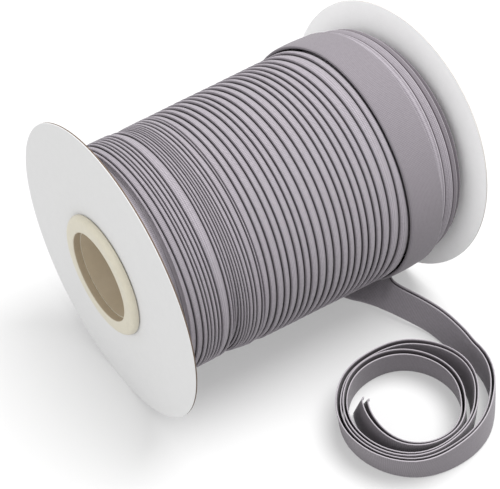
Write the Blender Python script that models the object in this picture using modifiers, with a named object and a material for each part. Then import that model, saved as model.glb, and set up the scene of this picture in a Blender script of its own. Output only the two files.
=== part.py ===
# Roll of bias binding: a card and plastic spool lying on its rims, wound with
# double-fold tape, with a loose end that comes out from under the roll, turns up
# on its fold and lies in an open coil on the surface.
# The spool's axis runs along X. The loose end lies in front, towards -Y.
# All sizes are in metres. Z = 0 is the surface that the roll rests on.

import bpy
import bmesh
from math import cos, sin, pi, radians, sqrt
from mathutils import Vector

MM = 0.001

# Fit between pieces that touch
GAP = 0.3 * MM

# Spool
FLANGE_RADIUS = 51.0 * MM
CARD_THICKNESS = 1.0 * MM
SPOOL_HALF_LENGTH = 59.0 * MM
FLAT_SPOT_HALF_WIDTH = 4.0 * MM
TUBE_INNER_RADIUS = 14.6 * MM
TUBE_OUTER_RADIUS = 17.5 * MM
COLLAR_INNER_RADIUS = 15.4 * MM
COLLAR_OUTER_RADIUS = 20.9 * MM
COLLAR_PROUD = 2.5 * MM
COLLAR_ROUNDING = 1.9 * MM
COLLAR_LIP_CHAMFER = 0.4 * MM
SLEEVE_THICKNESS = 1.2 * MM
SLEEVE_DEPTH = 6.0 * MM

# Tape
TAPE_WIDTH = 12.7 * MM
WIDE_WING = 14.0 * MM
WING_THICKNESS = 0.6 * MM
WING_SPACING = 1.0 * MM
TAPE_THICKNESS = WING_SPACING + WING_THICKNESS

# Place of the spool's axis. The box round the roll and its loose end is centred on Y = 0.
AXIS_Y = 23.51 * MM
AXIS_Z = sqrt(FLANGE_RADIUS ** 2 - FLAT_SPOT_HALF_WIDTH ** 2)

# Facets round each turned piece
FLANGE_SEGMENTS = 96
WINDING_SEGMENTS = 60
HUB_SEGMENTS = 48

# Main forms of the winding along the spool: place from the middle and radius, in millimetres
WINDING_FORM = (
    # (place, radius, form)
    (-57.7, 38.6, "against the near card disc"),
    (-53.0, 39.0, "first lower shoulder"),
    (-47.0, 39.7, "shoulder crown"),
    (-38.8, 40.0, "shoulder crown"),
    (-36.2, 39.4, "dip where two layers meet"),
    (-33.0, 40.2, "start of the even turns"),
    (-27.5, 40.8, "even turns"),
    (-12.8, 41.6, "even turns"),
    (1.0, 42.2, "even turns"),
    (13.3, 42.8, "even turns"),
    (26.8, 43.4, "last of the even turns"),
    (29.3, 43.5, "foot of the last full-width turn"),
    (29.5, 44.6, "fold of the last full-width turn"),
    (37.2, 44.9, "last full-width turn"),
    (42.3, 44.7, "open edge of the last full-width turn"),
    (42.5, 44.0, "older layer beside it"),
    (50.0, 43.5, "older layer"),
    (54.0, 42.6, "falling towards the far card disc"),
    (57.7, 40.8, "against the far card disc"),
)

# Loose end before its coil: fold edge's place from the spool's axis along X and Y,
# its height, and how far the tape has turned up on its fold, in millimetres and degrees
LOOSE_END_ROUTE = (
    # (x, y, z, turned up)
    (22.0, 3.0, 4.9, 0.0),
    (22.2, -5.0, 4.75, 0.0),
    (23.1, -12.0, 4.4, 2.0),
    (25.0, -17.7, 3.8, 6.0),
    (27.4, -22.5, 3.4, 13.0),
    (30.4, -26.4, 3.1, 27.0),
    (33.2, -30.7, 2.7, 57.5),
    (34.6, -33.3, 2.5, 77.0),
    (36.0, -36.0, 2.3, 84.0),
    (38.9, -42.9, 1.6, 85.5),
    (41.3, -49.2, 0.8, 86.5),
    (42.2, -54.6, 0.3, 85.5),
    (42.3, -59.9, 0.1, 85.5),
    (42.3, -64.9, 0.1, 87.5),
    (42.4, -69.8, 0.1, 92.0),
)

# Coil of the loose end: centre from the spool's axis, then its path at each eighth
# of a turn, clockwise seen from above, in millimetres
COIL_CENTRE = (9.7 * MM, -73.1 * MM)
COIL_PATH = (
    # (radius of the fold edge, how far the open edge leans outwards)
    (32.8, -0.8),
    (28.0, -2.1),
    (23.9, -0.2),
    (23.6, 2.8),
    (23.4, 3.0),
    (22.2, 0.6),
    (22.1, -1.7),
    (23.8, -1.5),
    (24.1, -0.1),
    (21.7, -0.4),
    (21.3, 0.0),
    (21.4, 2.8),
    (20.9, 3.1),
    (20.1, 0.6),
    (19.4, -1.2),
    (20.3, -2.8),
    (20.5, -3.2),
    (19.3, -2.2),
    (18.8, 0.5),
    (18.5, 1.6),
    (17.0, 0.0),
    (17.7, -2.8),
    (18.4, -4.0),
)
COIL_STEPS_PER_TURN = 8
COIL_TURNS = 2.61
COIL_FOLD_HEIGHT = 0.05 * MM
STATIONS_PER_TURN = 26
STATIONS_IN_A_STRETCH = 2
END_CUT_SLANT = 3.0 * MM

# Colours
TAPE_GREY = (0.434, 0.407, 0.434)
CARD_WHITE = (0.76, 0.76, 0.76)
HUB_CREAM = (0.68, 0.62, 0.50)


# Scene

def clear_scene():
    for old in list(bpy.data.objects):
        bpy.data.objects.remove(old, do_unlink=True)


def new_collection(name):
    collection = bpy.data.collections.new(name)
    bpy.context.scene.collection.children.link(collection)
    return collection


def make_material(name, colour, roughness):
    material = bpy.data.materials.new(name)
    material.use_nodes = True
    shader = material.node_tree.nodes["Principled BSDF"]
    shader.inputs["Base Color"].default_value = (*colour, 1.0)
    shader.inputs["Roughness"].default_value = roughness
    shader.inputs["Metallic"].default_value = 0.0
    return material


def finish_object(name, mesh, material, collection):
    mesh.materials.append(material)
    piece = bpy.data.objects.new(name, mesh)
    collection.objects.link(piece)
    return piece


# Turned pieces

def turned_piece(name, outline, segments, material, collection):
    """A closed outline of (place along the spool, radius) points, turned round the axis."""
    mesh = bpy.data.meshes.new(name)
    bm = bmesh.new()
    corners = [bm.verts.new((radius, 0.0, place)) for place, radius in outline]
    for first, second in zip(corners, corners[1:] + corners[:1]):
        bm.edges.new((first, second))
    bm.to_mesh(mesh)
    bm.free()
    piece = finish_object(name, mesh, material, collection)
    piece.location = (0.0, AXIS_Y, AXIS_Z)
    piece.rotation_euler = (0.0, pi / 2, 0.0)
    screw = piece.modifiers.new("Turn", "SCREW")
    screw.axis = "Z"
    screw.angle = 2 * pi
    screw.steps = segments
    screw.render_steps = segments
    screw.use_merge_vertices = True
    screw.merge_threshold = 0.00001
    screw.use_smooth_shade = True
    return piece


def core_tube_outline():
    half = SPOOL_HALF_LENGTH - GAP
    return [
        (half, TUBE_OUTER_RADIUS),
        (-half, TUBE_OUTER_RADIUS),
        (-half, TUBE_INNER_RADIUS),
        (half, TUBE_INNER_RADIUS),
    ]


def collar_outline(side):
    """Ring with a rounded outer edge, and a thin sleeve that reaches over the tube."""
    face = SPOOL_HALF_LENGTH + COLLAR_PROUD
    seat = SPOOL_HALF_LENGTH + GAP
    sleeve_inner = TUBE_OUTER_RADIUS + GAP
    sleeve_outer = sleeve_inner + SLEEVE_THICKNESS
    sleeve_end = SPOOL_HALF_LENGTH - SLEEVE_DEPTH
    points = [(seat, sleeve_outer), (seat, COLLAR_OUTER_RADIUS)]
    centre = (face - COLLAR_ROUNDING, COLLAR_OUTER_RADIUS - COLLAR_ROUNDING)
    for step in range(4):
        turn = radians(90.0 * step / 3)
        points.append((centre[0] + COLLAR_ROUNDING * sin(turn), centre[1] + COLLAR_ROUNDING * cos(turn)))
    points += [
        (face, COLLAR_INNER_RADIUS + COLLAR_LIP_CHAMFER),
        (face - COLLAR_LIP_CHAMFER, COLLAR_INNER_RADIUS),
        (SPOOL_HALF_LENGTH, COLLAR_INNER_RADIUS),
        (SPOOL_HALF_LENGTH, sleeve_inner),
        (sleeve_end, sleeve_inner),
        (sleeve_end, sleeve_outer),
    ]
    if side > 0:
        return points[::-1]
    return [(-place, radius) for place, radius in points]


def card_disc_outline(side):
    hole = TUBE_OUTER_RADIUS + SLEEVE_THICKNESS + 2 * GAP
    outer_face = SPOOL_HALF_LENGTH
    inner_face = SPOOL_HALF_LENGTH - CARD_THICKNESS
    points = [
        (inner_face, hole),
        (inner_face, FLANGE_RADIUS),
        (outer_face, FLANGE_RADIUS),
        (outer_face, hole),
    ]
    if side > 0:
        return points[::-1]
    return [(-place, radius) for place, radius in points]


def winding_outline():
    """Outer side from the table of forms, inner side stepped over the collars' sleeves."""
    outer = [(place * MM, radius * MM) for place, radius, form in WINDING_FORM]
    end = SPOOL_HALF_LENGTH - CARD_THICKNESS - GAP
    sleeve_end = SPOOL_HALF_LENGTH - SLEEVE_DEPTH - GAP
    over_tube = TUBE_OUTER_RADIUS + GAP
    over_sleeve = TUBE_OUTER_RADIUS + SLEEVE_THICKNESS + 2 * GAP
    inner = [
        (-end, over_sleeve),
        (-sleeve_end, over_sleeve),
        (-sleeve_end, over_tube),
        (sleeve_end, over_tube),
        (sleeve_end, over_sleeve),
        (end, over_sleeve),
    ]
    return outer[::-1] + inner


def cut_flat_spot(piece, floor_block):
    """Where a disc stands, its rim is cut level with the surface."""
    cut = piece.modifiers.new("Flat spot", "BOOLEAN")
    cut.operation = "DIFFERENCE"
    cut.solver = "EXACT"
    cut.object = floor_block


def make_floor_block(collection):
    depth = 10.0 * MM
    bpy.ops.mesh.primitive_cube_add(size=1.0, location=(0.0, AXIS_Y, -depth / 2))
    block = bpy.context.object
    block.name = "surface_cutter"
    block.scale = (4 * SPOOL_HALF_LENGTH, 2 * FLANGE_RADIUS, depth)
    bpy.ops.object.transform_apply(location=False, rotation=False, scale=True)
    for owner in list(block.users_collection):
        owner.objects.unlink(block)
    collection.objects.link(block)
    block.hide_render = True
    block.display_type = "WIRE"
    return block


# Loose end

def smooth_between(before, start, end, after, share):
    """A point on the smooth curve that runs from start to end through its neighbours."""
    line = 2 * start
    slope = (end - before) * share
    bend = (2 * before - 5 * start + 4 * end - after) * share ** 2
    turn = (3 * start - before - 3 * end + after) * share ** 3
    return (line + slope + bend + turn) / 2


def coil_values(turn):
    """Radius of the fold edge and lean of the open edge at a clockwise turn."""
    place = turn * COIL_STEPS_PER_TURN
    index = min(int(place), len(COIL_PATH) - 2)
    values = []
    for column in (0, 1):
        steps = [max(0, index - 1), index, index + 1, min(index + 2, len(COIL_PATH) - 1)]
        around = [COIL_PATH[step][column] * MM for step in steps]
        values.append(smooth_between(*around, place - index))
    return values


def coil_fold(turn):
    radius = coil_values(turn)[0]
    bearing = -2 * pi * turn
    return Vector((
        COIL_CENTRE[0] + radius * cos(bearing),
        AXIS_Y + COIL_CENTRE[1] + radius * sin(bearing),
        COIL_FOLD_HEIGHT,
    ))


def coil_station(turn):
    """Fold edge and direction across the tape. Outwards is to the left of the travel."""
    step = 0.005
    along = (coil_fold(turn + step) - coil_fold(turn - step)).normalized()
    outwards = Vector((-along.y, along.x, 0.0))
    lean = coil_values(turn)[1]
    rise = sqrt(TAPE_WIDTH ** 2 - lean ** 2)
    across = outwards * lean + Vector((0.0, 0.0, rise))
    lift = Vector((0.0, 0.0, abs(lean) / TAPE_WIDTH * TAPE_THICKNESS / 2))
    return coil_fold(turn) + lift, across.normalized()


def route_stations():
    """Fold edge and direction across the tape, from the roll's underside to the coil."""
    folds = [Vector((x * MM, AXIS_Y + y * MM, z * MM)) for x, y, z, up in LOOSE_END_ROUTE]
    stations = []
    for index, row in enumerate(LOOSE_END_ROUTE):
        up = radians(row[3])
        before = folds[max(index - 1, 0)]
        after = folds[min(index + 1, len(folds) - 1)]
        along = (after - before).normalized()
        left = Vector((-along.y, along.x, 0.0)).normalized()
        across = left * cos(up) + Vector((0.0, 0.0, 1.0)) * sin(up)
        across = (across - along * across.dot(along)).normalized()
        stations.append((folds[index], across))
    return stations


def all_stations():
    """The route, made denser and smoother, and then the turns of the coil."""
    route = route_stations()
    coil = []
    count = round(COIL_TURNS * STATIONS_PER_TURN)
    for step in range(count + 1):
        coil.append(coil_station(COIL_TURNS * step / count))
    chain = [route[0]] + route + coil[:2]
    dense = []
    for index in range(len(route)):
        near = chain[index:index + 4]
        for part in range(STATIONS_IN_A_STRETCH):
            share = part / STATIONS_IN_A_STRETCH
            fold = smooth_between(*[station[0] for station in near], share)
            across = smooth_between(*[station[1] for station in near], share)
            dense.append((fold, across.normalized()))
    return dense + coil


def section_points(fold, across, along, slant):
    """Middle line of the folded tape: down its narrow wing and up its wide one."""
    normal = along.cross(across).normalized()
    half = WING_SPACING / 2
    narrow_end = TAPE_WIDTH - WING_THICKNESS / 2
    wide_end = WIDE_WING - WING_THICKNESS / 2
    section = [
        (narrow_end, half),
        (TAPE_WIDTH / 2, half),
        (half, half),
        (WING_THICKNESS / 2, half / 2),
        (WING_THICKNESS / 2, -half / 2),
        (half, -half),
        (TAPE_WIDTH / 2, -half),
        (wide_end, -half),
    ]
    points = []
    for distance, offset in section:
        set_back = along * (slant * distance / TAPE_WIDTH)
        points.append(fold + across * distance + normal * offset - set_back)
    return points


def make_loose_end(material, collection):
    """The folded tape as one bent sheet, drawn along its route section by section."""
    stations = all_stations()
    mesh = bpy.data.meshes.new("loose_end")
    bm = bmesh.new()
    line = []
    for index, (fold, across) in enumerate(stations):
        before = stations[max(index - 1, 0)][0]
        after = stations[min(index + 1, len(stations) - 1)][0]
        along = (after - before).normalized()
        slant = END_CUT_SLANT if index == len(stations) - 1 else 0.0
        points = section_points(fold, across, along, slant)
        if not line:
            line = [bm.verts.new(point) for point in points]
            edges = [bm.edges.new(pair) for pair in zip(line, line[1:])]
            continue
        drawn = bmesh.ops.extrude_edge_only(bm, edges=edges)["geom"]
        fresh = {item for item in drawn if isinstance(item, bmesh.types.BMVert)}
        line = [next(edge.other_vert(vert) for edge in vert.link_edges
                     if edge.other_vert(vert) in fresh) for vert in line]
        edges = [bm.edges.get(pair) for pair in zip(line, line[1:])]
        for vert, point in zip(line, points):
            vert.co = point
    bmesh.ops.recalc_face_normals(bm, faces=bm.faces)
    for face in bm.faces:
        face.smooth = True
    bm.to_mesh(mesh)
    bm.free()
    piece = finish_object("loose_end", mesh, material, collection)
    wings = piece.modifiers.new("Wing thickness", "SOLIDIFY")
    wings.thickness = WING_THICKNESS
    wings.offset = 0.0
    wings.use_even_offset = True
    return piece


# The whole object

def build_roll():
    clear_scene()
    parts = new_collection("bias_binding_roll")
    cutters = new_collection("cutters")
    tape = make_material("tape_grey", TAPE_GREY, 0.85)
    card = make_material("card_white", CARD_WHITE, 0.7)
    hub = make_material("hub_cream", HUB_CREAM, 0.5)
    floor_block = make_floor_block(cutters)
    turned_piece("core_tube", core_tube_outline(), HUB_SEGMENTS, hub, parts)
    for side, word in ((-1, "near"), (1, "far")):
        turned_piece(f"collar_{word}", collar_outline(side), HUB_SEGMENTS, hub, parts)
        disc = turned_piece(f"flange_{word}", card_disc_outline(side), FLANGE_SEGMENTS, card, parts)
        cut_flat_spot(disc, floor_block)
    turned_piece("winding", winding_outline(), WINDING_SEGMENTS, tape, parts)
    make_loose_end(tape, parts)


build_roll()
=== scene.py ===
# %% [markdown]
# # A roll of bias binding, made in Blender
# The object is a spool with two white card discs and a cream plastic hub. It's wound
# full with grey double-fold tape. The last turn runs over the top and down the back,
# comes out under the roll, turns up on its fold and lies in an open coil on the table.
# We load the measured solids first, because every piece that we make must fit them.

# %% Load the frame
import bpy
import bmesh
from math import cos, exp, hypot, pi, radians, sin, sqrt
from mathutils import Matrix, Vector


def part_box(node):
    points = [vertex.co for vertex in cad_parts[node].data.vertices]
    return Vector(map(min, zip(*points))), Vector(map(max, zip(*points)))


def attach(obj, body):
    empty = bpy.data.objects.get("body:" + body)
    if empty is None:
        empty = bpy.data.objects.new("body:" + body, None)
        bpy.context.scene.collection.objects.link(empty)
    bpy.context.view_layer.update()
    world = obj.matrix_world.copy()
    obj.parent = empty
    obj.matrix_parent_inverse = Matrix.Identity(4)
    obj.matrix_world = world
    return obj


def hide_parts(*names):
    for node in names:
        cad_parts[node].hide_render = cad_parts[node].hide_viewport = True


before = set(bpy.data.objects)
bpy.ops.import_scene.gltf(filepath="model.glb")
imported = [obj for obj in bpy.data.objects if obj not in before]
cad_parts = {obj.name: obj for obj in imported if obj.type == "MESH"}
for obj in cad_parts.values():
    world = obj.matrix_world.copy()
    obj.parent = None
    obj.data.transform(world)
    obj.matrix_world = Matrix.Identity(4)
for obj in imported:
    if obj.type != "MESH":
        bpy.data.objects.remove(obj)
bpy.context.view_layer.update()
print("solids:", sorted(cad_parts))

# %% [markdown]
# ## Sizes
# Each size here is a real one, in metres. The spool's axis runs along X. We read its
# place from the near disc's box, so the pieces stay in line with the solids. The tape is
# folded a little off its middle, so one of its two wings is wider than the other.

# %% Name the sizes
MM = 0.001
near_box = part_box("flange_near")
DISC_RADIUS = 51.0 * MM
AXIS_Y = (near_box[0][1] + near_box[1][1]) / 2
AXIS_Z = near_box[1][2] - DISC_RADIUS
DISC_OUTER_FACE = 59.0 * MM
DISC_THICKNESS = 0.6 * MM
TAPE_WIDTH = 12.7 * MM
WIDE_WING = 14.0 * MM
CLOTH = 0.27 * MM
print("axis at y %.2f mm, z %.2f mm" % (AXIS_Y / MM, AXIS_Z / MM))

# %% [markdown]
# ## Nodes in one line
# A material is a small graph. Each node makes a pattern or does a sum, and links carry
# the result on. Such a graph could be drawn by hand in the shader editor. Here short
# helpers add the nodes, so that each material below reads like its recipe.

# %% Write the node helpers
def add_node(tree, kind, **values):
    node = tree.nodes.new(kind)
    for name, value in values.items():
        if hasattr(node, name):
            setattr(node, name, value)
        else:
            node.inputs[name.replace("_", " ")].default_value = value
    return node


def maths(tree, operation, first, second=None):
    """A math node that joins two sockets or numbers, and gives its output back."""
    node = tree.nodes.new("ShaderNodeMath")
    node.operation = operation
    for place, value in enumerate((first, second)):
        if value is None:
            continue
        if isinstance(value, (int, float)):
            node.inputs[place].default_value = value
        else:
            tree.links.new(value, node.inputs[place])
    return node.outputs[0]


def noise(tree, place, **values):
    node = add_node(tree, "ShaderNodeTexNoise", **values)
    tree.links.new(place, node.inputs["Vector"])
    return node.outputs[0]


def colour_ramp(tree, level, low, low_colour, high, high_colour):
    """Turn a pattern's level into a colour between two colours."""
    node = add_node(tree, "ShaderNodeValToRGB")
    first, last = node.color_ramp.elements
    first.position, last.position = low, high
    first.color = (*low_colour, 1.0)
    last.color = (*high_colour, 1.0)
    tree.links.new(level, node.inputs[0])
    return node.outputs[0]


def tinted(tree, share, colour, tint):
    """A colour mixed towards a tint, by a share that varies over the surface."""
    node = tree.nodes.new("ShaderNodeMix")
    node.data_type = "RGBA"
    tree.links.new(share, node.inputs["Factor"])
    tree.links.new(colour, node.inputs["A"])
    node.inputs["B"].default_value = (*tint, 1.0)
    return node.outputs["Result"]


def raised(tree, height, strength, distance):
    """Fine relief from a pattern's level, for a shader's normal."""
    node = add_node(tree, "ShaderNodeBump", Strength=strength, Distance=distance)
    tree.links.new(height, node.inputs["Height"])
    return node.outputs[0]


def new_finish(name, roughness, specular):
    """A material with its even values set, its node graph and its shader."""
    material = bpy.data.materials.new(name)
    material.use_nodes = True
    shader = material.node_tree.nodes["Principled BSDF"]
    shader.inputs["Roughness"].default_value = roughness
    shader.inputs["Specular IOR Level"].default_value = specular
    return material, material.node_tree, shader


print("node helpers ready")

# %% [markdown]
# ## Cloth
# The tape is plain woven cotton and polyester, cut at 45 degrees to its threads, so
# the threads run slantwise across the tape. Modelled threads would need millions of
# faces, so a pattern draws them. Each piece of tape carries a UV map in metres: U runs
# along the tape and V across it. The material turns those two numbers by 45 degrees and
# crosses two waves, one for each set of threads. Noise then adds slubs and patches. A
# second map paints shade into the creases and paints a highlight on the rims.

# %% Make the cloth material
# painted shade for the creases, and a painted highlight for the tape's rims
PAINTED_CREASE_SHADE = (0.055, 0.045, 0.053)
PAINTED_RIM_HIGHLIGHT = (0.46, 0.43, 0.46)


def woven(tree, place, thread):
    """Two crossed waves, turned by 45 degrees. Thread is the length of one wave."""
    split = add_node(tree, "ShaderNodeSeparateXYZ")
    tree.links.new(place, split.inputs[0])
    along, across = split.outputs[0], split.outputs[1]
    pace = 2 * pi / thread / sqrt(2)
    waves = []
    for operation in ("ADD", "SUBTRACT"):
        slanted = maths(tree, operation, along, across)
        waves.append(maths(tree, "SINE", maths(tree, "MULTIPLY", slanted, pace)))
    return maths(tree, "MULTIPLY", *waves)


def bias_cloth(name, light, dark, thread):
    material, tree, shader = new_finish(name, roughness=0.92, specular=0.2)
    shader.inputs["Sheen Weight"].default_value = 0.12
    tape_map = add_node(tree, "ShaderNodeUVMap", uv_map="tape").outputs[0]
    weave = woven(tree, tape_map, thread)
    level = maths(tree, "ADD", maths(tree, "MULTIPLY", weave, 0.5), 0.5)
    slubs = noise(tree, tape_map, Scale=900.0, Detail=3.0, Roughness=0.7)
    patches = noise(tree, tape_map, Scale=60.0, Detail=2.0, Roughness=0.5)
    mixed = maths(tree, "MULTIPLY", level, 0.6)
    for pattern, weight in ((slubs, 0.4), (patches, 0.10)):
        mixed = maths(tree, "ADD", mixed, maths(tree, "MULTIPLY", pattern, weight))
    colour = colour_ramp(tree, mixed, 0.38, dark, 0.72, light)
    # the crease map's first value paints shade into creases, its second paints a highlight on
    # rims
    painted_light_map = add_node(tree, "ShaderNodeUVMap", uv_map="crease").outputs[0]
    depth = add_node(tree, "ShaderNodeSeparateXYZ")
    tree.links.new(painted_light_map, depth.inputs[0])
    colour = tinted(tree, depth.outputs[0], colour, PAINTED_CREASE_SHADE)
    colour = tinted(tree, depth.outputs[1], colour, PAINTED_RIM_HIGHLIGHT)
    tree.links.new(colour, shader.inputs["Base Color"])
    tree.links.new(raised(tree, weave, 0.35, 0.06 * MM), shader.inputs["Normal"])
    return material


tape_cloth = bias_cloth(
    "grey_bias_cloth", light=(0.300, 0.277, 0.303), dark=(0.165, 0.150, 0.168), thread=0.8 * MM)
loose_cloth = bias_cloth(
    "grey_bias_cloth_outer", light=(0.285, 0.264, 0.288), dark=(0.183, 0.169, 0.185),
    thread=0.76 * MM)
print("materials:", tape_cloth.name, loose_cloth.name)

# %% [markdown]
# ## A flat strip first
# Every piece of tape starts as a flat strip, as it does on the folding machine. A curve
# with a bevel could follow the roll too, but it can't change its section on the way. So
# the grid operator cuts a flat strip into rows along the tape and columns across it. We
# keep the rows in order, and then carry each row to its place on the roll.

# %% Cut a flat strip
def flat_strip(rows, columns):
    """A flat grid of rows by columns, and its corners in order, row by row."""
    bm = bmesh.new()
    bmesh.ops.create_grid(bm, x_segments=columns - 1, y_segments=rows - 1, size=1.0)
    bm.verts.ensure_lookup_table()
    corners = sorted(bm.verts, key=lambda vert: (round(vert.co.y, 7), vert.co.x))
    return bm, [corners[row * columns:(row + 1) * columns] for row in range(rows)]


def new_piece(name, bm, materials):
    """Turn a finished bmesh into an object with its materials."""
    mesh = bpy.data.meshes.new(name)
    bm.to_mesh(mesh)
    bm.free()
    for material in materials:
        mesh.materials.append(material)
    piece = bpy.data.objects.new(name, mesh)
    bpy.context.scene.collection.objects.link(piece)
    return piece


def lay_strip(name, places, lengths, widths, painted_light_columns, painted_shades, material, flip=False):
    """Carry a flat strip to its places. Lengths and widths are the tape map, in metres.
    The crease map paints shade: each column gets a share from 0 to 1 by how deep in a
    crease it lies, and each row adds its own painted shade. A value below 0 is a rim,
    where a painted highlight makes the cloth paler."""
    bm, corners = flat_strip(len(places), len(places[0]))
    tape_map = bm.loops.layers.uv.new("tape")
    painted_light_map = bm.loops.layers.uv.new("crease")
    for row, line in enumerate(corners):
        for column, vert in enumerate(line):
            vert.co = places[row][column]
            painted_shade = min(1.0, max(painted_light_columns[column], 0.0) + painted_shades[row])
            rim_highlight = max(-painted_light_columns[column], 0.0)
            for loop in vert.link_loops:
                loop[tape_map].uv = (lengths[row], widths[column])
                loop[painted_light_map].uv = (painted_shade, rim_highlight)
    if flip:
        bmesh.ops.reverse_faces(bm, faces=bm.faces)
    for face in bm.faces:
        face.smooth = True
    return new_piece(name, bm, [material])


def on_roll(place, turn, radius):
    """A point on the roll: place along the axis, angle from +Y towards +Z, radius."""
    angle = radians(turn)
    return Vector((place, AXIS_Y + radius * cos(angle), AXIS_Z + radius * sin(angle)))


print("strip helpers ready")

# %% [markdown]
# ## The form of the winding
# The tape has been wound from the near disc to the far one, each turn lapping four
# fifths of the turn before. So the winding is a long staircase, lower at the near disc.
# The roll also sags a little towards the table at the front. A sculpted drum could show
# that, but a table is easier to set right: it gives the height of the folds above the
# axis at places along the spool. Two hollows lie low on the front.

# %% Describe the form
FORM = (
    # (place along the axis, radius), in millimetres
    (-57.7, 36.6), (-53.5, 38.6), (-48.5, 39.5), (-47.0, 39.7), (-38.8, 40.0),
    (-36.2, 39.5), (-33.7, 40.0), (-27.5, 40.8), (-12.8, 41.6), (1.0, 42.2),
    (13.3, 42.8), (28.0, 43.5), (41.0, 42.7), (44.5, 43.8), (51.0, 43.6), (53.6, 43.0),
    (55.3, 41.9), (57.7, 38.0),
)
HOLLOWS = (
    # (place along the axis, spread, depth), in millimetres
    (-36.0, 1.3, 1.3), (-25.2, 1.6, 0.7),
)
HOLLOWS_TURN, HOLLOWS_SPREAD = 205, 42
SAG_TURN = 215
EVEN_TURNS_FROM = -24
OLDER_LAYER_FROM = 44


def form_radius(place):
    """Height of the folds above the axis at a place along it, in metres."""
    x = place / MM
    for (x0, r0), (x1, r1) in zip(FORM, FORM[1:]):
        if x <= x1:
            share = min(1.0, max(0.0, (x - x0) / (x1 - x0)))
            return (r0 + (r1 - r0) * share) * MM
    return FORM[-1][1] * MM


def bell(value, middle, spread):
    return exp(-((value - middle) / spread) ** 2)


def sag_at(x):
    """How far the turns hang towards the front at a place, all in millimetres."""
    if x > OLDER_LAYER_FROM:
        return 0.5
    if x > EVEN_TURNS_FROM:
        return 0.9
    return 0.2 + 0.7 * bell(x, EVEN_TURNS_FROM, 9)


def roll_radius(place, turn):
    """The form, with the sag to the front and the two hollows low on that side."""
    x = place / MM
    turn = turn % 360.0
    radius = form_radius(place) + sag_at(x) * cos(radians(turn - SAG_TURN)) * MM
    low_front = bell(turn, HOLLOWS_TURN, HOLLOWS_SPREAD)
    for middle, spread, depth in HOLLOWS:
        radius -= depth * low_front * bell(x, middle, spread) * MM
    return radius


heights = [radius for place, radius in FORM]
print("folds stand %.1f to %.1f mm above the axis" % (min(heights), max(heights)))

# %% [markdown]
# ## Where the turns lie
# Only a narrow band of each turn shows: its rounded fold edge and the cloth up to the
# next fold. A hand never lays turns evenly, and a formula would look too neat. So this
# list gives the fold's place on each turn, read where the roll faces the light.

# %% List the folds
FOLDS = (
    # first turns by the near disc, in millimetres from the spool's middle
    -57.5, -51.0, -49.8, -47.6, -46.2, -45.2, -43.7, -42.3, -41.1,
    # close turns after the one wide gap
    -37.7, -36.7, -35.8, -34.8, -34.1, -33.2, -32.4, -31.5, -30.1, -28.9, -26.9, -26.1,
    # even turns up to the last one
    -23.5, -21.2, -18.4, -16.1, -13.1, -10.6, -8.2, -5.2, -2.2, 0.7, 3.8, 6.7, 9.2,
    12.1, 14.5, 17.5, 20.0, 23.5, 27.4,
)
# the last turn: (turns after the list's end, place), then it leaves under the roll
LAST_TURN = (
    (0.0, 27.4), (0.11, 28.3), (0.28, 29.3), (0.5, 30.8), (0.7, 31.8), (0.76, 31.5),
    (0.83, 30.5), (0.89, 29.7), (0.95, 29.4), (1.0, 29.6), (1.05, 30.1), (1.11, 30.9),
    (1.22, 31.0), (1.33, 29.5), (1.45, 26.2), (1.583, 22.0), (1.7, 18.0),
)
# open edges of the older layer beside the last turn, from the far disc inwards
FAR_EDGES = (-57.6, -55.4, -52.9, -50.4, -47.2, -41.0, -36.0)
WHOLE = len(FOLDS) - 1
JOIN_AT = WHOLE + 0.55
READ_AT = 120.0
ROWS_PER_TURN = 96
print("turns before the last one:", WHOLE)

# %% [markdown]
# ## Reading the lists
# Between two folds of the list the tape runs on round the roll, so all the turns are
# one long strip. These helpers give the fold's place after any number of turns. A turn
# stands proud where its neighbours are far, and is pressed flat where they crowd it.

# %% Read the folds
def between(rows, at):
    """Straight reading between the rows of a short table."""
    for (x0, y0), (x1, y1) in zip(rows, rows[1:]):
        if at <= x1:
            return y0 + (y1 - y0) * max(0.0, (at - x0) / (x1 - x0))
    return rows[-1][1]


def wander(turns):
    """A hand never lays the turns quite evenly."""
    return (0.07 * sin(turns * 5.3) + 0.05 * sin(turns * 13.1 + 1.0)) * MM


def fold_place(folds, turns):
    """Place of the fold edge after a number of turns, from a list of one per turn."""
    if turns < 0:
        return (folds[0] + 0.1 * turns) * MM
    index = min(int(turns), len(folds) - 2)
    share = turns - index
    return (folds[index] + (folds[index + 1] - folds[index]) * share) * MM + wander(turns)


def near_fold(turns):
    if turns >= WHOLE:
        return between(LAST_TURN, turns - WHOLE) * MM
    return fold_place(FOLDS, turns)


def far_edge(turns):
    return fold_place(FAR_EDGES, turns)


def ease(share):
    """From 0 to 1 with a soft start and a soft end."""
    share = min(1.0, max(0.0, share))
    return share * share * (3 - 2 * share)


def rise(turns):
    """The start of the last turn climbs on to the turns before it."""
    return 1.2 * ease((turns - WHOLE - 0.1) / 0.45) * MM


def nose_height(pitch):
    """Thickness that shows at a fold: full for wide steps, pressed where turns crowd."""
    return min(1.05, 0.43 + 0.24 * max(pitch, 0.0) / MM) * MM


print("nose of an even turn: %.2f mm" % (nose_height(near_fold(31) - near_fold(30)) / MM))

# %% [markdown]
# ## The section of a turn
# Cut across, a turn shows a rounded nose at its fold and a gentle slope down to the next
# fold, where it dips into a narrow groove. A bevel on a plain step could round the nose,
# but it would also round the groove, which has to stay sharp and dark.

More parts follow.
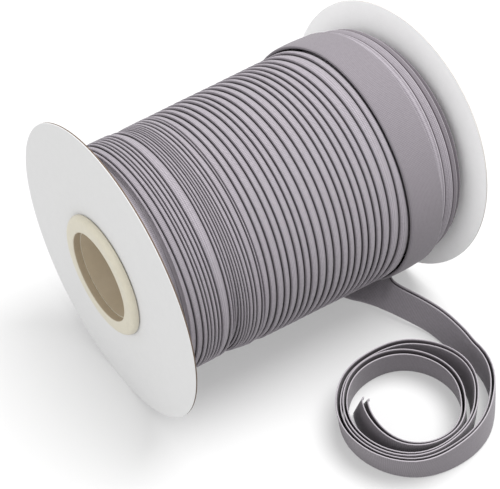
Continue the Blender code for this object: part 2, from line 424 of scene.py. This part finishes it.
# %% Draw the section
def turn_section(left, right, top, end, step, groove):
    """Points (place, radius) across one turn, from under its fold to under the next."""
    width = right - left
    soft = min(0.45 * MM, 0.3 * width)
    middle = 0.5 * (top + end) + 0.06 * min(width, 3 * MM)
    return [
        # under the fold and round its nose
        (left + 0.55 * MM, top - step - 0.45 * MM),
        (left + 0.16 * MM, top - step - 0.12 * MM),
        (left - 0.02 * MM, top - 0.78 * step),
        (left - 0.08 * MM, top - 0.50 * step),
        (left + 0.04 * MM, top - 0.22 * step),
        (left + 0.35 * soft, top - 0.06 * step),
        # over the cloth that shows
        (left + soft, top),
        (left + soft + 0.5 * (width - soft), middle),
        (right - min(groove + 0.15 * MM, 0.5 * width), end + 0.10 * step),
        # down into the groove and under the next fold
        (right - min(groove, 0.4 * width), end + 0.02 * step),
        (right, end - 0.12 * MM - 0.5 * groove),
        (right + 0.5 * MM, end - 0.45 * MM),
    ]


# the same points on the flat tape, in millimetres, and how much painted shade they get
# in a crease; below 0 is a painted highlight on a rim
TURN_WIDTHS = (0.0, 0.45, 0.75, 1.0, 1.3, 1.6, 1.9, 3.0, 3.95, 4.1, 4.5, 5.0)
TURN_PAINTED_SHADE = (1.0, 1.0, 0.8, 0.45, 0.1, 0.0, 0.0, 0.0, 0.0, 0.2, 0.8, 1.0)
FAR_PAINTED_LIGHT = (1.0, 1.0, 0.85, 0.3, 0.0, -0.5, 0.0, 0.0, 0.0, 0.6, 0.8, 1.0)
print("points across a turn:", len(TURN_WIDTHS))

# %% [markdown]
# ## The wound turns
# Now one strip is wound from the near disc, row by row, as on the real spool. Separate
# rings would be simpler, but real turns slant from one place to the next. A second strip
# is wound from the far disc: the open edges of the older layer, pressed flat, and given
# painted shade beside the far disc.

# %% Wind the turns
FAR_STEP = 0.45 * MM
FAR_GROOVE = 0.7 * MM
STEP_UNDER_LAST_TURN = 0.15 * MM
# the strip's end dips by this much a turn, to hide under the last turn
END_DIP = 20 * MM
# how much painted shade the first turns beside a disc get, near (1) and far (-1), how
# many turns get it, and over how many of them the painted shade fades
PAINTED_END_SHADE = {1: 0.12, -1: 0.75}
SHADED_TURNS, FADING_TURNS = 3.9, 2.8


def turn_depths(turns, left, right, after, side):
    """Step at the turn's own fold, step at the next one, and width of the groove there."""
    if side < 0:
        return FAR_STEP, FAR_STEP, FAR_GROOVE
    step = nose_height(right - left) + rise(turns)
    step_next = nose_height(after - right)
    if turns + 1 > JOIN_AT:
        step_next = STEP_UNDER_LAST_TURN
    return step, step_next, min(0.35 * MM, 0.1 * MM + 0.12 * (right - left))


def wind_turns(name, place_at, last, painted_light_columns, side):
    """One strip wound from a disc inwards. Side is 1 from the near disc, -1 from the far."""
    places, lengths, painted_shades = [], [], []
    length = 0.0
    for row in range(int((last + 1) * ROWS_PER_TURN) + 1):
        turns = row / ROWS_PER_TURN - 1
        angle = READ_AT - 360.0 * turns * side
        left, right, after = [place_at(turns + ahead) for ahead in (0, 1, 2)]
        step, step_next, groove = turn_depths(turns, left, right, after, side)
        top = roll_radius(side * left, angle)
        if side > 0:
            top += rise(turns)
            top -= max(0.0, turns - last + 0.05) * END_DIP
        end = min(top, roll_radius(side * right, angle) - step_next)
        section = turn_section(left, right, top, end, step, groove)
        places.append([on_roll(side * x, angle, radius) for x, radius in section])
        lengths.append(length)
        painted_shades.append(PAINTED_END_SHADE[side] * ease((SHADED_TURNS - turns) / FADING_TURNS))
        length += 2 * pi * top / ROWS_PER_TURN
    widths = [width * MM for width in TURN_WIDTHS]
    return lay_strip(name, places, lengths, widths, painted_light_columns, painted_shades, tape_cloth, flip=side > 0)


wound_turns = wind_turns("wound_turns", near_fold, JOIN_AT + 0.05, TURN_PAINTED_SHADE, 1)
far_turns = wind_turns("far_turns", far_edge, len(FAR_EDGES) - 2, FAR_PAINTED_LIGHT, -1)
print("faces:", len(wound_turns.data.polygons), len(far_turns.data.polygons))

# %% [markdown]
# ## Plain finishes
# Card, plastic and shaded cloth each have one colour to the eye, but a perfectly even
# colour looks like paint on a screen. So the colour varies by a few parts in a hundred,
# and the same noise raises the surface slightly, as the grain of paper and plastic does.

# %% Make a plain finish
def plain_finish(name, colour, roughness, specular=0.3, patchy=0.03):
    """A plain material whose colour and surface vary a little. Patchy is by how much."""
    material, tree, shader = new_finish(name, roughness, specular)
    place = add_node(tree, "ShaderNodeTexCoord").outputs["Object"]
    grain = noise(tree, place, Scale=400.0, Detail=4.0, Roughness=0.6)
    darker = [part * (1 - patchy) for part in colour]
    paler = [part * (1 + patchy) for part in colour]
    varied = colour_ramp(tree, grain, 0.3, darker, 0.7, paler)
    tree.links.new(varied, shader.inputs["Base Color"])
    tree.links.new(raised(tree, grain, 0.1, 0.05 * MM), shader.inputs["Normal"])
    return material


under_cloth = plain_finish("shaded_cloth", (0.36, 0.33, 0.36), roughness=0.95, specular=0.1)
print("finish:", under_cloth.name)

# %% [markdown]
# ## What lies under the turns
# The strip has no thickness of its own, so a plain drum fills the roll just below it.
# It's round, so it needs no modelling by hand. The spin operator turns it from one
# outline, as a lathe would, and so it also makes the discs and the hub later.

# %% Turn the drum
DRUM_BELOW_FOLDS = 2.3 * MM
DRUM_HALF_LENGTH = 57.7 * MM
DRUM_BORE = 20.0 * MM


def turned(name, outline, steps, material):
    """A closed outline of (place, radius) points spun round the spool's axis."""
    bm = bmesh.new()
    corners = [bm.verts.new((x, AXIS_Y + r, AXIS_Z)) for x, r in outline]
    edges = [bm.edges.new(pair) for pair in zip(corners, corners[1:] + corners[:1])]
    bmesh.ops.spin(bm, geom=corners + edges, cent=(0, AXIS_Y, AXIS_Z), axis=(1, 0, 0),
                   angle=2 * pi, steps=steps, use_merge=True)
    bmesh.ops.remove_doubles(bm, verts=bm.verts, dist=1e-7)
    bmesh.ops.recalc_face_normals(bm, faces=bm.faces)
    for face in bm.faces:
        face.smooth = True
    return new_piece(name, bm, [material])


drum_outline = [(x * MM, r * MM - DRUM_BELOW_FOLDS) for x, r in FORM]
drum_outline += [(DRUM_HALF_LENGTH, DRUM_BORE), (-DRUM_HALF_LENGTH, DRUM_BORE)]
drum = turned("drum", drum_outline, 96, under_cloth)
print("drum faces:", len(drum.data.polygons))

# %% [markdown]
# ## The path of the last turn
# The last turn isn't pressed down by others, so it's made as the folded tape that it
# is. A station is one place along it: where the fold edge is, which way the tape's
# width points, how thick it is there, and how far it is held by the roll, from 1 to 0.
# First come the stations round the roll.

# %% Follow the last turn
LEAVES_AT = WHOLE + 1.583
BAND_RADIUS = 44.1 * MM
BAND_SAG = 0.9 * MM
BAND_CLIMB = 1.5 * MM
CLIMBS_FROM, CLIMBS_FOR = WHOLE + 1.05, 0.53
LOOSENS_FROM, LOOSENS_FOR = WHOLE + 1.25, 0.33
TAPE_THICKNESS = 1.45 * MM
BAND_THICKNESS = 1.2 * MM


def band_fold(turns):
    """Fold edge of the last turn. It climbs a little before it leaves under the roll."""
    angle = READ_AT - 360.0 * turns
    climb = BAND_CLIMB * ease((turns - CLIMBS_FROM) / CLIMBS_FOR)
    radius = BAND_RADIUS + BAND_SAG * cos(radians(angle - SAG_TURN)) + climb
    return on_roll(near_fold(turns), angle, radius)


def band_stations():
    stations = []
    count = round((LEAVES_AT - JOIN_AT) * ROWS_PER_TURN)
    for step in range(count):
        turns = JOIN_AT + (LEAVES_AT - JOIN_AT) * step / count
        along = (band_fold(turns + 0.004) - band_fold(turns - 0.004)).normalized()
        across = Vector((1, 0, 0)) - along * along.x
        loose = ease((turns - LOOSENS_FROM) / LOOSENS_FOR)
        thick = BAND_THICKNESS + (TAPE_THICKNESS - BAND_THICKNESS) * loose
        stations.append((band_fold(turns), across.normalized(), thick, 1 - loose))
    return stations


stations = band_stations()
print("stations on the roll:", len(stations))

# %% [markdown]
# ## The route of the loose end
# The tail comes out under the roll lying flat. Then it turns up on its fold and runs
# clockwise in a coil of two and a half turns. It was laid by hand, so it's no true
# spiral. The first table is the tail's route. The second gives the coil at each eighth
# of a turn: its radius, and how far the open edge leans outwards.

# %% List the route
TAIL_ROUTE = (
    # (x, y from the axis, z in millimetres, turned up in degrees)
    (22.2, -5.0, 4.75, 0.0),
    (23.1, -12.0, 4.4, 2.0),
    (25.0, -17.7, 3.8, 6.0),
    (27.4, -22.5, 3.4, 13.0),
    (30.4, -26.4, 3.1, 27.0),
    (33.2, -30.7, 2.7, 57.5),
    (34.6, -33.3, 2.5, 77.0),
    (36.0, -36.0, 2.3, 84.0),
    (38.9, -42.9, 1.6, 85.5),
    (41.3, -49.2, 0.8, 86.5),
    (42.2, -54.6, 0.3, 85.5),
    (42.3, -59.9, 0.1, 85.5),
    (42.3, -64.9, 0.1, 87.5),
    (42.4, -69.8, 0.1, 92.0),
)
COIL_CENTRE = (9.7 * MM, -73.1 * MM)
COIL_PATH = (
    # (radius of the fold edge, lean of the open edge), in millimetres
    (32.8, -0.8), (28.0, -2.1), (23.9, -0.2), (23.6, 2.8), (23.4, 3.0), (22.2, 0.6),
    (22.1, -1.7), (23.8, -1.5), (24.1, -0.1), (21.7, -0.4), (21.3, 0.0), (21.4, 2.8),
    (20.9, 3.1), (20.1, 0.6), (19.4, -1.2), (20.3, -2.8), (20.5, -3.2), (19.3, -2.2),
    (18.8, 0.5), (18.5, 1.6), (17.0, 0.0), (17.7, -2.8), (18.4, -4.0),
)
COIL_STEPS_PER_TURN = 8
COIL_FOLD_HEIGHT = 0.05 * MM
COIL_TURNS = 2.61
ROWS_IN_COIL_TURN = 72
ROWS_IN_STRETCH = 4
print("rows in the tables:", len(TAIL_ROUTE), len(COIL_PATH))

# %% [markdown]
# ## The coil on the table
# A smooth curve joins the rows of a table, so that the tape never kinks. In the coil
# the tape stands on its fold, and its open edge leans in or out by a millimetre or two.
# Where it leans, it's lifted a little, so that its lower corner still rests on the table.

# %% Follow the coil
def smooth_between(rows, index, share):
    """A smooth curve through the rows of a list, read between index and the next."""
    picked = [rows[min(max(index + step, 0), len(rows) - 1)] for step in (-1, 0, 1, 2)]
    before, start, end, after = picked
    bend = 2 * before - 5 * start + 4 * end - after
    turn = 3 * start - before - 3 * end + after
    return (2 * start + (end - before) * share + bend * share ** 2 + turn * share ** 3) / 2


def coil_value(turns, column):
    """One column of the coil's table, in metres, after a number of turns."""
    place = turns * COIL_STEPS_PER_TURN
    index = min(int(place), len(COIL_PATH) - 2)
    return smooth_between([row[column] for row in COIL_PATH], index, place - index) * MM


def coil_fold(turns):
    radius = coil_value(turns, 0)
    bearing = -2 * pi * turns
    x = COIL_CENTRE[0] + radius * cos(bearing)
    y = AXIS_Y + COIL_CENTRE[1] + radius * sin(bearing)
    return Vector((x, y, COIL_FOLD_HEIGHT))


def coil_station(turns):
    along = (coil_fold(turns + 0.005) - coil_fold(turns - 0.005)).normalized()
    lean = coil_value(turns, 1)
    outwards = Vector((-along.y, along.x, 0.0))
    across = outwards * lean + Vector((0, 0, sqrt(TAPE_WIDTH ** 2 - lean ** 2)))
    lift = Vector((0, 0, abs(lean) / TAPE_WIDTH * TAPE_THICKNESS / 2))
    return coil_fold(turns) + lift, across.normalized()


print("coil is %.1f mm across" % (2 * coil_value(1.0, 0) / MM))

# %% [markdown]
# ## The tail from the roll to the coil
# The tail starts at the last station on the roll and ends at the coil's first one. Its
# width points sideways at first, and turns up by the angle in the table. The same smooth
# curve joins its rows, and both ends borrow a neighbour, so that no joint shows.

# %% Follow the tail
def tail_stations(last_fold):
    """Stations from the roll's underside to the coil. Left of the travel is outwards."""
    folds = [Vector((x * MM, AXIS_Y + y * MM, z * MM)) for x, y, z, up in TAIL_ROUTE]
    ends = [last_fold] + folds + [coil_fold(0.0)]
    acrosses = []
    for index, (x, y, z, up) in enumerate(TAIL_ROUTE):
        along = (ends[index + 2] - ends[index]).normalized()
        left = Vector((-along.y, along.x, 0.0)).normalized()
        across = left * cos(radians(up)) + Vector((0, 0, sin(radians(up))))
        acrosses.append((across - along * across.dot(along)).normalized())
    coil_start = [coil_station(turns) for turns in (0.0, 0.02)]
    folds = [last_fold] + folds + [fold for fold, across in coil_start]
    acrosses = [acrosses[0]] + acrosses + [across for fold, across in coil_start]
    stations = []
    for index in range(1, len(TAIL_ROUTE) + 1):
        for part in range(ROWS_IN_STRETCH):
            share = part / ROWS_IN_STRETCH
            across = smooth_between(acrosses, index, share).normalized()
            stations.append((smooth_between(folds, index, share), across, TAPE_THICKNESS, 0.0))
    return stations


def length_along(some):
    return sum((b[0] - a[0]).length for a, b in zip(some, some[1:]))


stations += tail_stations(stations[-1][0])
coil_rows = round(COIL_TURNS * ROWS_IN_COIL_TURN)
for step in range(coil_rows + 1):
    fold, across = coil_station(COIL_TURNS * step / coil_rows)
    stations.append((fold, across, TAPE_THICKNESS, 0.0))
tape_length = length_along(stations)
coil_length = length_along(stations[-coil_rows - 1:])
print("stations: %d, tape %.0f mm long" % (len(stations), tape_length / MM))

# %% [markdown]
# ## The folded tape
# Bias binding is cut as a strip about 51 mm wide. Its two raw edges are turned in, and
# then it's folded a little off the middle. So a cut across it shows four layers of
# cloth, two in each wing, and one wing reaches a little past the other, to be caught by
# the seam. Two plain bands would look alike from afar, but not at the rims and the cut
# end. So we write the section as one line from a raw edge to the other.

# %% Draw the tape's section
RAW_EDGE_AT = 1.2 * MM
LAYER_STEP = 0.28 * MM


def wing(side, thick, width, parting, crown):
    """One wing as (across, offset, crease) points, from its raw edge to beside the fold.
    The crease value paints shade, and below 0 it paints a highlight.
    """
    outer = thick / 2 - CLOTH / 2
    inner = outer - LAYER_STEP
    rim = width - CLOTH / 2
    inside = [RAW_EDGE_AT, 3.6 * MM, 6.4 * MM, 9.2 * MM, rim - 0.6 * MM]
    # the inner layers get painted shade, for the dark slot between the wings
    points = [(distance, inner, 0.9) for distance in inside]
    points += [
        # round the rim, where a painted highlight makes the cloth pale
        (rim - 0.3 * MM, inner + 0.01 * MM, 0.0),
        (rim - 0.06 * MM, inner + 0.07 * MM, -0.3),
        (rim, (inner + outer) / 2, -0.7),
        (rim - 0.06 * MM, outer - 0.07 * MM, -0.4),
        (rim - 0.2 * MM, outer - 0.01 * MM, 0.0),
    ]
    points += [(distance, outer, 0.0) for distance in reversed(inside)]
    points += [(0.62 * MM, 0.93 * outer, 0.0), (0.30 * MM, 0.66 * outer, 0.0)]
    placed = []
    for distance, offset, crease in points:
        share = distance / TAPE_WIDTH
        spread = parting * share ** 1.4
        offset = side * (offset + spread) - crown * sin(pi * min(share, 1.0))
        placed.append((distance, offset, crease))
    return placed


def tape_section(thick, narrow=TAPE_WIDTH, parting=0.0, crown=0.0):
    inner_wing = wing(1, thick, narrow, parting, crown)
    outer_wing = wing(-1, thick, WIDE_WING, parting, crown)
    return inner_wing + [(0.16 * MM, 0.0, 0.0)] + outer_wing[::-1]


print("points across the tape:", len(tape_section(TAPE_THICKNESS)))

# %% [markdown]
# ## Laying the tape
# The section is laid at every station, and the Solidify modifier gives it the thickness
# of the cloth. A perfect section would look like extruded plastic. So slow waves make
# the tape a little thicker, wider or more bowed on its way. The wings part a little,
# most of all at the cut end. Painted shade darkens the last turn where it lies on the
# roll, and the coil, whose turns shade one another.

# %% Fold and lay the tape
LAYER_THICKNESS = CLOTH - 0.02 * MM
# painted shade on the last turn where the roll holds it, and on the coil's rows
PAINTED_BAND_SHADE = 0.38
PAINTED_COIL_SHADE = 0.35
CUT_SLANT = 3.0 * MM


def slow_wave(run, pace, start=0.0):
    """A slow unevenness along the tape. Pace is how soon it comes back, in millimetres."""
    return sin(run / (pace * MM) + start)


def uneven_section(run, left, thick, held):
    """The section after a run of tape, with some tape left. Held is 1 on the roll."""
    free = 1 - held
    thick *= 1 + 0.10 * slow_wave(run, 9) * slow_wave(run, 23, start=1)
    parting = (0.22 * held + 0.12 * free * (1 + slow_wave(run, 31))) * MM
    parting += 0.7 * ease(1 - left / (40 * MM)) * MM
    crown = (0.25 * held + 0.15 * free * slow_wave(run, 27)) * MM
    narrow = TAPE_WIDTH + (0.4 + 0.15 * slow_wave(run, 17)) * free * MM
    return tape_section(thick, narrow, parting, crown)


def lay_tape(name, stations, material):
    places, lengths, painted_shades = [], [], []
    run = 0.0
    for index, (fold, across, thick, held) in enumerate(stations):
        before = stations[max(index - 1, 0)][0]
        after = stations[min(index + 1, len(stations) - 1)][0]
        along = (after - before).normalized()
        normal = along.cross(across).normalized()
        run += (fold - before).length
        left = tape_length - run
        slant = CUT_SLANT * ease(1 - left / (5 * MM))
        row = []
        for distance, offset, crease in uneven_section(run, left, thick, held):
            back = along * (slant * distance / TAPE_WIDTH)
            row.append(fold + across * distance + normal * offset - back)
        places.append(row)
        lengths.append(run)
        # painted shade: on the band on the roll, and on the coil's rows over their first 25 mm
        in_coil = ease((coil_length - left) / (25 * MM))
        painted_shades.append(PAINTED_BAND_SHADE * held + PAINTED_COIL_SHADE * in_coil)
    section = tape_section(TAPE_THICKNESS)
    widths = [0.0]
    for first, second in zip(section, section[1:]):
        widths.append(widths[-1] + hypot(second[0] - first[0], second[1] - first[1]))
    painted_light_columns = [crease for distance, offset, crease in section]
    piece = lay_strip(name, places, lengths, widths, painted_light_columns, painted_shades, material)
    cloth = piece.modifiers.new("Cloth", "SOLIDIFY")
    cloth.thickness = LAYER_THICKNESS
    cloth.offset = 0.0
    cloth.use_even_offset = True
    return piece, widths[-1]


loose_tape, flat_width = lay_tape("loose_tape", stations, loose_cloth)
print("loose tape: %.1f mm wide when flat, %d faces"
      % (flat_width / MM, len(loose_tape.data.polygons)))

# %% [markdown]
# ## The card discs
# Each disc is a ring of white card, a little over half a millimetre thick. It's turned
# from its outline too. Its edge is cut raw, so the brown core of the card shows as a
# thin line. Where it stands, the bisect operator cuts the edge level with the table, so
# that the disc rests on a small flat spot and not on one corner of its outline.

# %% Turn the discs
# two copies of one white card: the outer faces are painted darker (painted shade) and the faces
# towards the roll paler (painted light), so the far disc's inner face stays bright
card_face_painted_shade = plain_finish("white_card_painted_shade", (0.63, 0.63, 0.63), 0.75, patchy=0.01)
card_inside_painted_light = plain_finish("white_card_painted_light", (0.93, 0.93, 0.93), 0.6, patchy=0.01)
card_edge = plain_finish("raw_card_edge", (0.11, 0.08, 0.06), 0.9, 0.15)
pale_edge = plain_finish("pale_card_edge", (0.45, 0.43, 0.41), 0.9, 0.15)
HOLE_RADIUS = 19.3 * MM
RIM_BAND = 6.0 * MM


def disc_outline(side):
    """Card between two faces, with the corners of its cut edge just worn off."""
    outer, inner = side * DISC_OUTER_FACE, side * (DISC_OUTER_FACE - DISC_THICKNESS)
    return [
        (inner, HOLE_RADIUS),
        (inner, DISC_RADIUS - RIM_BAND),
        (inner, DISC_RADIUS - 0.05 * MM),
        (inner + side * 0.05 * MM, DISC_RADIUS),
        (outer - side * 0.15 * MM, DISC_RADIUS),
        (outer, DISC_RADIUS - 0.12 * MM),
        (outer, DISC_RADIUS - RIM_BAND),
        (outer, HOLE_RADIUS),
    ]


def stand_on_table(bm):
    """Cut off what would reach below the table, and close the cut."""
    cut = bmesh.ops.bisect_plane(bm, geom=bm.verts[:] + bm.edges[:] + bm.faces[:],
                                 plane_co=(0, 0, 0), plane_no=(0, 0, -1), clear_outer=True)
    rim = [item for item in cut["geom_cut"] if isinstance(item, bmesh.types.BMEdge)]
    bmesh.ops.holes_fill(bm, edges=rim, sides=0)
    bmesh.ops.recalc_face_normals(bm, faces=bm.faces)


def card_disc(name, side, edge):
    disc = turned(name, disc_outline(side), 144, card_face_painted_shade)
    disc.data.materials.append(edge)
    disc.data.materials.append(card_inside_painted_light)
    bm = bmesh.new()
    bm.from_mesh(disc.data)
    stand_on_table(bm)
    for face in bm.faces:
        middle = face.calc_center_median()
        if hypot(middle.y - AXIS_Y, middle.z - AXIS_Z) > DISC_RADIUS - 0.06 * MM:
            face.material_index = 1
        # faces towards the roll get the paler copy of the card: painted light
        elif face.normal.x * side < -0.5:
            face.material_index = 2
        face.smooth = abs(face.normal.x) < 0.5
    bm.to_mesh(disc.data)
    bm.free()
    return disc


near_disc = card_disc("near_disc", -1, card_edge)
far_disc = card_disc("far_disc", 1, pale_edge)
print("disc faces:", len(near_disc.data.polygons), len(far_disc.data.polygons))

# %% [markdown]
# ## The end rings
# A moulded ring closes each end of the hub. Its outer corner is rounded, its lip is
# softened, and a thin sleeve reaches back over the tube. The bevel operator could round
# the corners after the spin. Arcs in the outline are simpler here, because they are
# turned along with the rest.

# %% Turn the rings
plastic = plain_finish("cream_plastic", (0.56, 0.525, 0.425), 0.42, 0.4)
# a darker copy of the cream plastic for each ring's bore: painted shade
mouth_plastic_painted_shade = plain_finish("shaded_cream_plastic", (0.40, 0.33, 0.235), 0.5, 0.3)
RING_FACE = 61.5 * MM
RING_SEAT = 59.3 * MM
RING_RADIUS = 20.9 * MM
RING_BORE = 15.45 * MM
RING_ROUNDING = 1.9 * MM
LIP_ROUNDING = 0.4 * MM
LEDGE_AT = 59.0 * MM
SLEEVE_END = 53.0 * MM
SLEEVE_OUTER = 19.0 * MM
SLEEVE_INNER = 17.8 * MM


def quarter_arc(place, radius, rounding, start, steps):
    """A quarter turn, from the start angle down, round a middle point."""
    points = []
    for step in range(steps + 1):
        turn = radians(start - 90 * step / steps)
        points.append((place + rounding * cos(turn), radius + rounding * sin(turn)))
    return points


def ring_outline():
    points = [(RING_SEAT, SLEEVE_OUTER), (RING_SEAT, RING_RADIUS)]
    points += quarter_arc(
        RING_FACE - RING_ROUNDING, RING_RADIUS - RING_ROUNDING, RING_ROUNDING, 90, 8)
    points += quarter_arc(RING_FACE - LIP_ROUNDING, RING_BORE + LIP_ROUNDING, LIP_ROUNDING, 0, 4)
    points += [
        # the ledge, with a point close by it that keeps its corner sharp
        (LEDGE_AT + 0.05 * MM, RING_BORE),
        (LEDGE_AT, RING_BORE),
        # the sleeve
        (LEDGE_AT, SLEEVE_INNER),
        (SLEEVE_END, SLEEVE_INNER),
        (SLEEVE_END, SLEEVE_OUTER),
    ]
    return points


def end_ring(name, side):
    ring = turned(name, [(side * x, r) for x, r in ring_outline()], 120, plastic)
    ring.data.materials.append(mouth_plastic_painted_shade)
    for face in ring.data.polygons:
        if hypot(face.center.y - AXIS_Y, face.center.z - AXIS_Z) < RING_BORE + 0.05 * MM:
            face.material_index = 1
    return ring


near_ring = end_ring("near_ring", -1)
far_ring = end_ring("far_ring", 1)
print("ring faces:", len(near_ring.data.polygons))

# %% [markdown]
# ## The tube
# The hub's tube runs through the whole spool. Its bore is seen through the near ring, a
# little behind the ring's lip. It looks browner than the rings, because little light
# reaches it, so it gets a darker, browner copy of their plastic: painted shade. Its two
# flat ends have the rings' finish.

# %% Turn the tube
# painted shade: the rings' plastic, darker and browner for the shaded bore
tube_plastic_painted_shade = plain_finish("cream_plastic_painted_shade", (0.38, 0.31, 0.215), 0.5, 0.3)
TUBE_HALF_LENGTH = 58.95 * MM
TUBE_RADIUS = 17.5 * MM
TUBE_BORE = 15.0 * MM
tube_outline = [
    (TUBE_HALF_LENGTH, TUBE_RADIUS),
    (-TUBE_HALF_LENGTH, TUBE_RADIUS),
    (-TUBE_HALF_LENGTH, TUBE_BORE),
    (TUBE_HALF_LENGTH, TUBE_BORE),
]
hub_tube = turned("hub_tube", tube_outline, 120, tube_plastic_painted_shade)
hub_tube.data.materials.append(plastic)
for face in hub_tube.data.polygons:
    face.use_smooth = abs(face.normal.x) < 0.5
    face.material_index = 0 if face.use_smooth else 1
print("tube faces:", len(hub_tube.data.polygons))

# %% [markdown]
# ## Table and light
# The roll lies on a plain white table. The table glows a little, so that it stays white
# without strong lamps, which would bleach the card. A large soft lamp hangs high on the
# right, so the shade falls to the left and under the roll. A weaker one lights the near
# disc, and a pale surround fills the rest.

# %% Set the table and the lamps
bpy.ops.mesh.primitive_plane_add(size=6.0, location=(0, 0, 0))
floor = bpy.context.object
floor.name = "table_top"
white_table = plain_finish("white_table", (0.40, 0.40, 0.40), 0.9, 0.05, patchy=0.0)
glow = white_table.node_tree.nodes["Principled BSDF"].inputs
glow["Emission Color"].default_value = (1.0, 1.0, 1.0, 1.0)
glow["Emission Strength"].default_value = 0.32
floor.data.materials.append(white_table)

scene = bpy.context.scene
scene.view_settings.view_transform = "Standard"
scene.world = bpy.data.worlds.new("pale_surround")
scene.world.use_nodes = True
sky = scene.world.node_tree.nodes["Background"]
sky.inputs["Color"].default_value = (1.0, 1.0, 1.0, 1.0)
sky.inputs["Strength"].default_value = 0.86


def soft_lamp(name, place, aim, size, power):
    lamp = bpy.data.lights.new(name, "AREA")
    lamp.shape = "DISK"
    lamp.size = size
    lamp.energy = power
    holder = bpy.data.objects.new(name, lamp)
    holder.location = place
    holder.rotation_euler = (Vector(aim) - Vector(place)).to_track_quat("-Z", "Y").to_euler()
    scene.collection.objects.link(holder)
    return holder


key_lamp = soft_lamp("key_lamp", (0.24, -0.1, 1.0), (0, 0, 0.03), size=0.75, power=14.6)
fill_lamp = soft_lamp("fill_lamp", (-1.0, -0.1, 0.7), (0, 0, 0.05), size=0.8, power=3.0)
print("lamp powers:", key_lamp.data.energy, fill_lamp.data.energy)

# %% [markdown]
# ## Camera
# The camera looks down from the left, as the photographer did. Its place and angles were
# worked out from the two discs and the hub: three circles of known size, seen aslant.

# %% Place the camera
CAMERA_FROM_AXIS = Vector((-0.15562, -0.21012, 0.28091))
CAMERA_HEADING = radians(-36.18)
CAMERA_TILT = radians(-43.81)
CAMERA_ROLL = radians(-0.39)
lens = bpy.data.cameras.new("photo_camera")
lens.lens = 73.44
camera = bpy.data.objects.new("photo_camera", lens)
camera.location = CAMERA_FROM_AXIS + Vector((0.0, AXIS_Y, 0.0))
level_view = Matrix.Rotation(radians(90) + CAMERA_TILT, 3, "X")
turned_view = Matrix.Rotation(CAMERA_HEADING, 3, "Z") @ level_view
camera.rotation_euler = (turned_view @ Matrix.Rotation(CAMERA_ROLL, 3, "Z")).to_euler()
scene.collection.objects.link(camera)
scene.camera = camera
print("camera at", [round(value, 3) for value in camera.location])

# %% [markdown]
# ## What each piece stands for
# Every piece rides on the one body of the roll, and takes the place of its plain solid.

# %% Name the pieces' parts
pieces = {
    wound_turns: ("winding", "tape"),
    far_turns: ("winding", "tape"),
    drum: ("winding", "tape"),
    loose_tape: ("loose_end", "tape"),
    near_disc: ("flange_near", "card"),
    far_disc: ("flange_far", "card"),
    near_ring: ("collar_near", "hub"),
    far_ring: ("collar_far", "hub"),
    hub_tube: ("core_tube", "hub"),
}
for piece, (node, slot) in pieces.items():
    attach(piece, "root")
    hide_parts(node)
